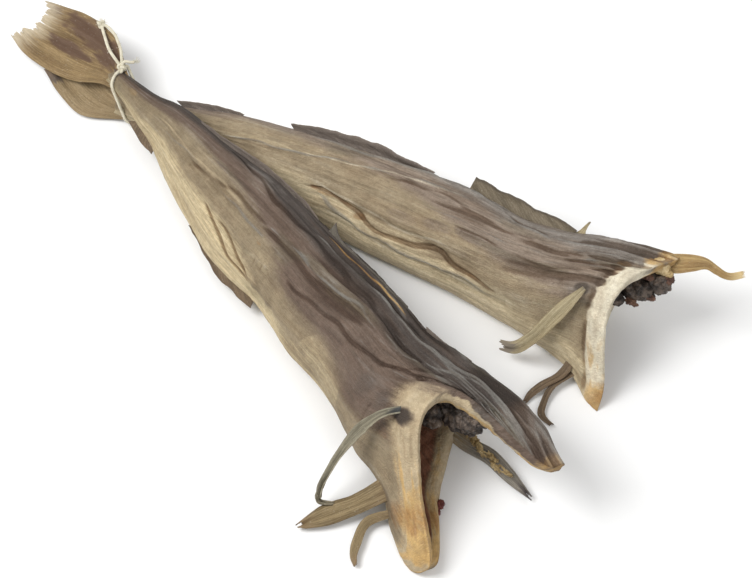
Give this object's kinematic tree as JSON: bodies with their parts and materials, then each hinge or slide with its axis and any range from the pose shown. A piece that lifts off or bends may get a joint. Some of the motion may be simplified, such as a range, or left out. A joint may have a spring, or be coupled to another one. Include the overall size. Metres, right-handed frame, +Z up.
{
  "type": "tied pair of stockfish",
  "caption": "Dried headless gutted cod tied together at the tails with white string, lying on their sides with open collars and shrivelled fins.",
  "frame": {"origin": "middle of the pair's footprint, on the surface that it lies on", "axes": "+Z up; +X along the pair's longest side, with the tied tails at -X and +Y and the open collars towards +X and -Y"},
  "size_m": [0.5928, 0.5342, 0.0897],
  "materials": {
    "near_skin": "dry matt skin",
    "far_skin": "dry matt skin",
    "string": "twisted cotton"
  },
  "bodies": {
    "root": {"fish_near": "near_skin", "fish_far": "far_skin", "tie_string": "string"}
  },
  "joints": []
}
